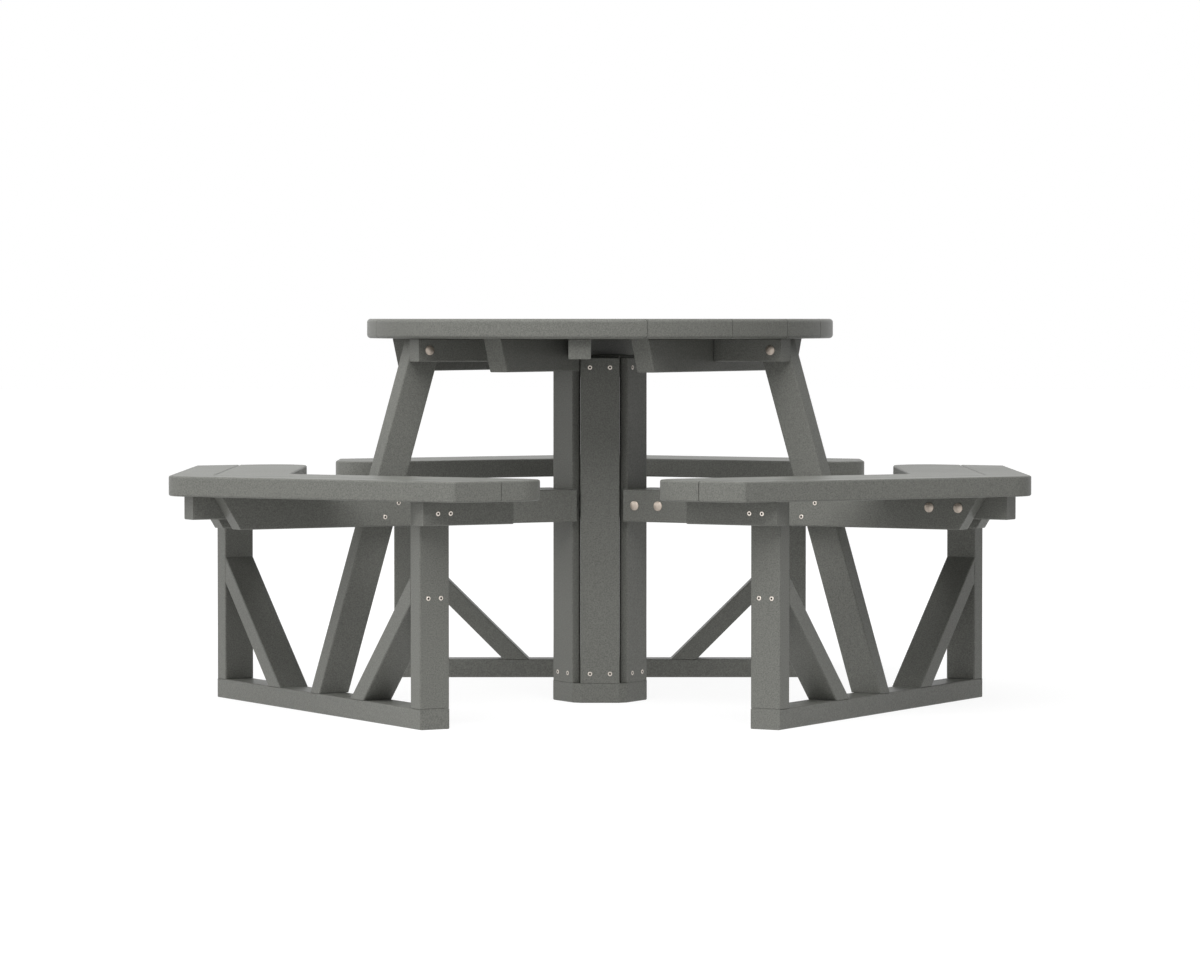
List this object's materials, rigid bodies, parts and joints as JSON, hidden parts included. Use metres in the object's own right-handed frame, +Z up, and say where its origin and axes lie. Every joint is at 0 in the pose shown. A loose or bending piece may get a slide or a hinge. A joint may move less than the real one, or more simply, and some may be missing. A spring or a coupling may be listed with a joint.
{
  "type": "round picnic table",
  "caption": "Round outdoor table on a hexagonal column, with chevron bench seats on radial beams and braced frames, all of eased grey plastic lumber.",
  "frame": {"origin": "middle of the column's foot, on the floor", "axes": "+Z up; +Y towards the back bench; +X to the right, between the right and back benches"},
  "size_m": [1.6176, 1.7054, 0.75],
  "materials": {
    "lumber": "matte, finely speckled mid grey",
    "fastener": "bare, slightly dulled"
  },
  "bodies": {
    "root": {"back_braces": "lumber", "back_end_cleats": "lumber", "back_leg": "lumber", "back_leg_cleat": "lumber", "back_posts": "lumber", "back_radial_beam_1": "lumber", "back_radial_beam_2": "lumber", "back_rail": "lumber", "back_seat_inner_board_1": "lumber", "back_seat_inner_board_2": "lumber", "back_seat_outer_board_1": "lumber", "back_seat_outer_board_2": "lumber", "back_seat_spine": "lumber", "column_base": "lumber", "column_lower_core": "lumber", "column_staves": "lumber", "column_upper_core": "lumber", "cross_beam_left": "lumber", "cross_beam_middle": "lumber", "cross_beam_right": "lumber", "front_cleat": "lumber", "hub_blocks": "lumber", "hub_bolts": "fastener", "left_braces": "lumber", "left_end_cleats": "lumber", "left_leg": "lumber", "left_leg_cleat": "lumber", "left_posts": "lumber", "left_radial_beam_1": "lumber", "left_radial_beam_2": "lumber", "left_rail": "lumber", "left_seat_inner_board_1": "lumber", "left_seat_inner_board_2": "lumber", "left_seat_outer_board_1": "lumber", "left_seat_outer_board_2": "lumber", "left_seat_spine": "lumber", "leg_bolts": "fastener", "right_braces": "lumber", "right_end_cleats": "lumber", "right_leg": "lumber", "right_leg_cleat": "lumber", "right_posts": "lumber", "right_radial_beam_1": "lumber", "right_radial_beam_2": "lumber", "right_rail": "lumber", "right_seat_inner_board_1": "lumber", "right_seat_inner_board_2": "lumber", "right_seat_outer_board_1": "lumber", "right_seat_outer_board_2": "lumber", "right_seat_spine": "lumber", "spine_bolts": "fastener", "top_board_1": "lumber", "top_board_2": "lumber", "top_board_3": "lumber", "top_board_4": "lumber", "top_board_5": "lumber", "top_board_6": "lumber", "top_board_7": "lumber"}
  },
  "joints": []
}
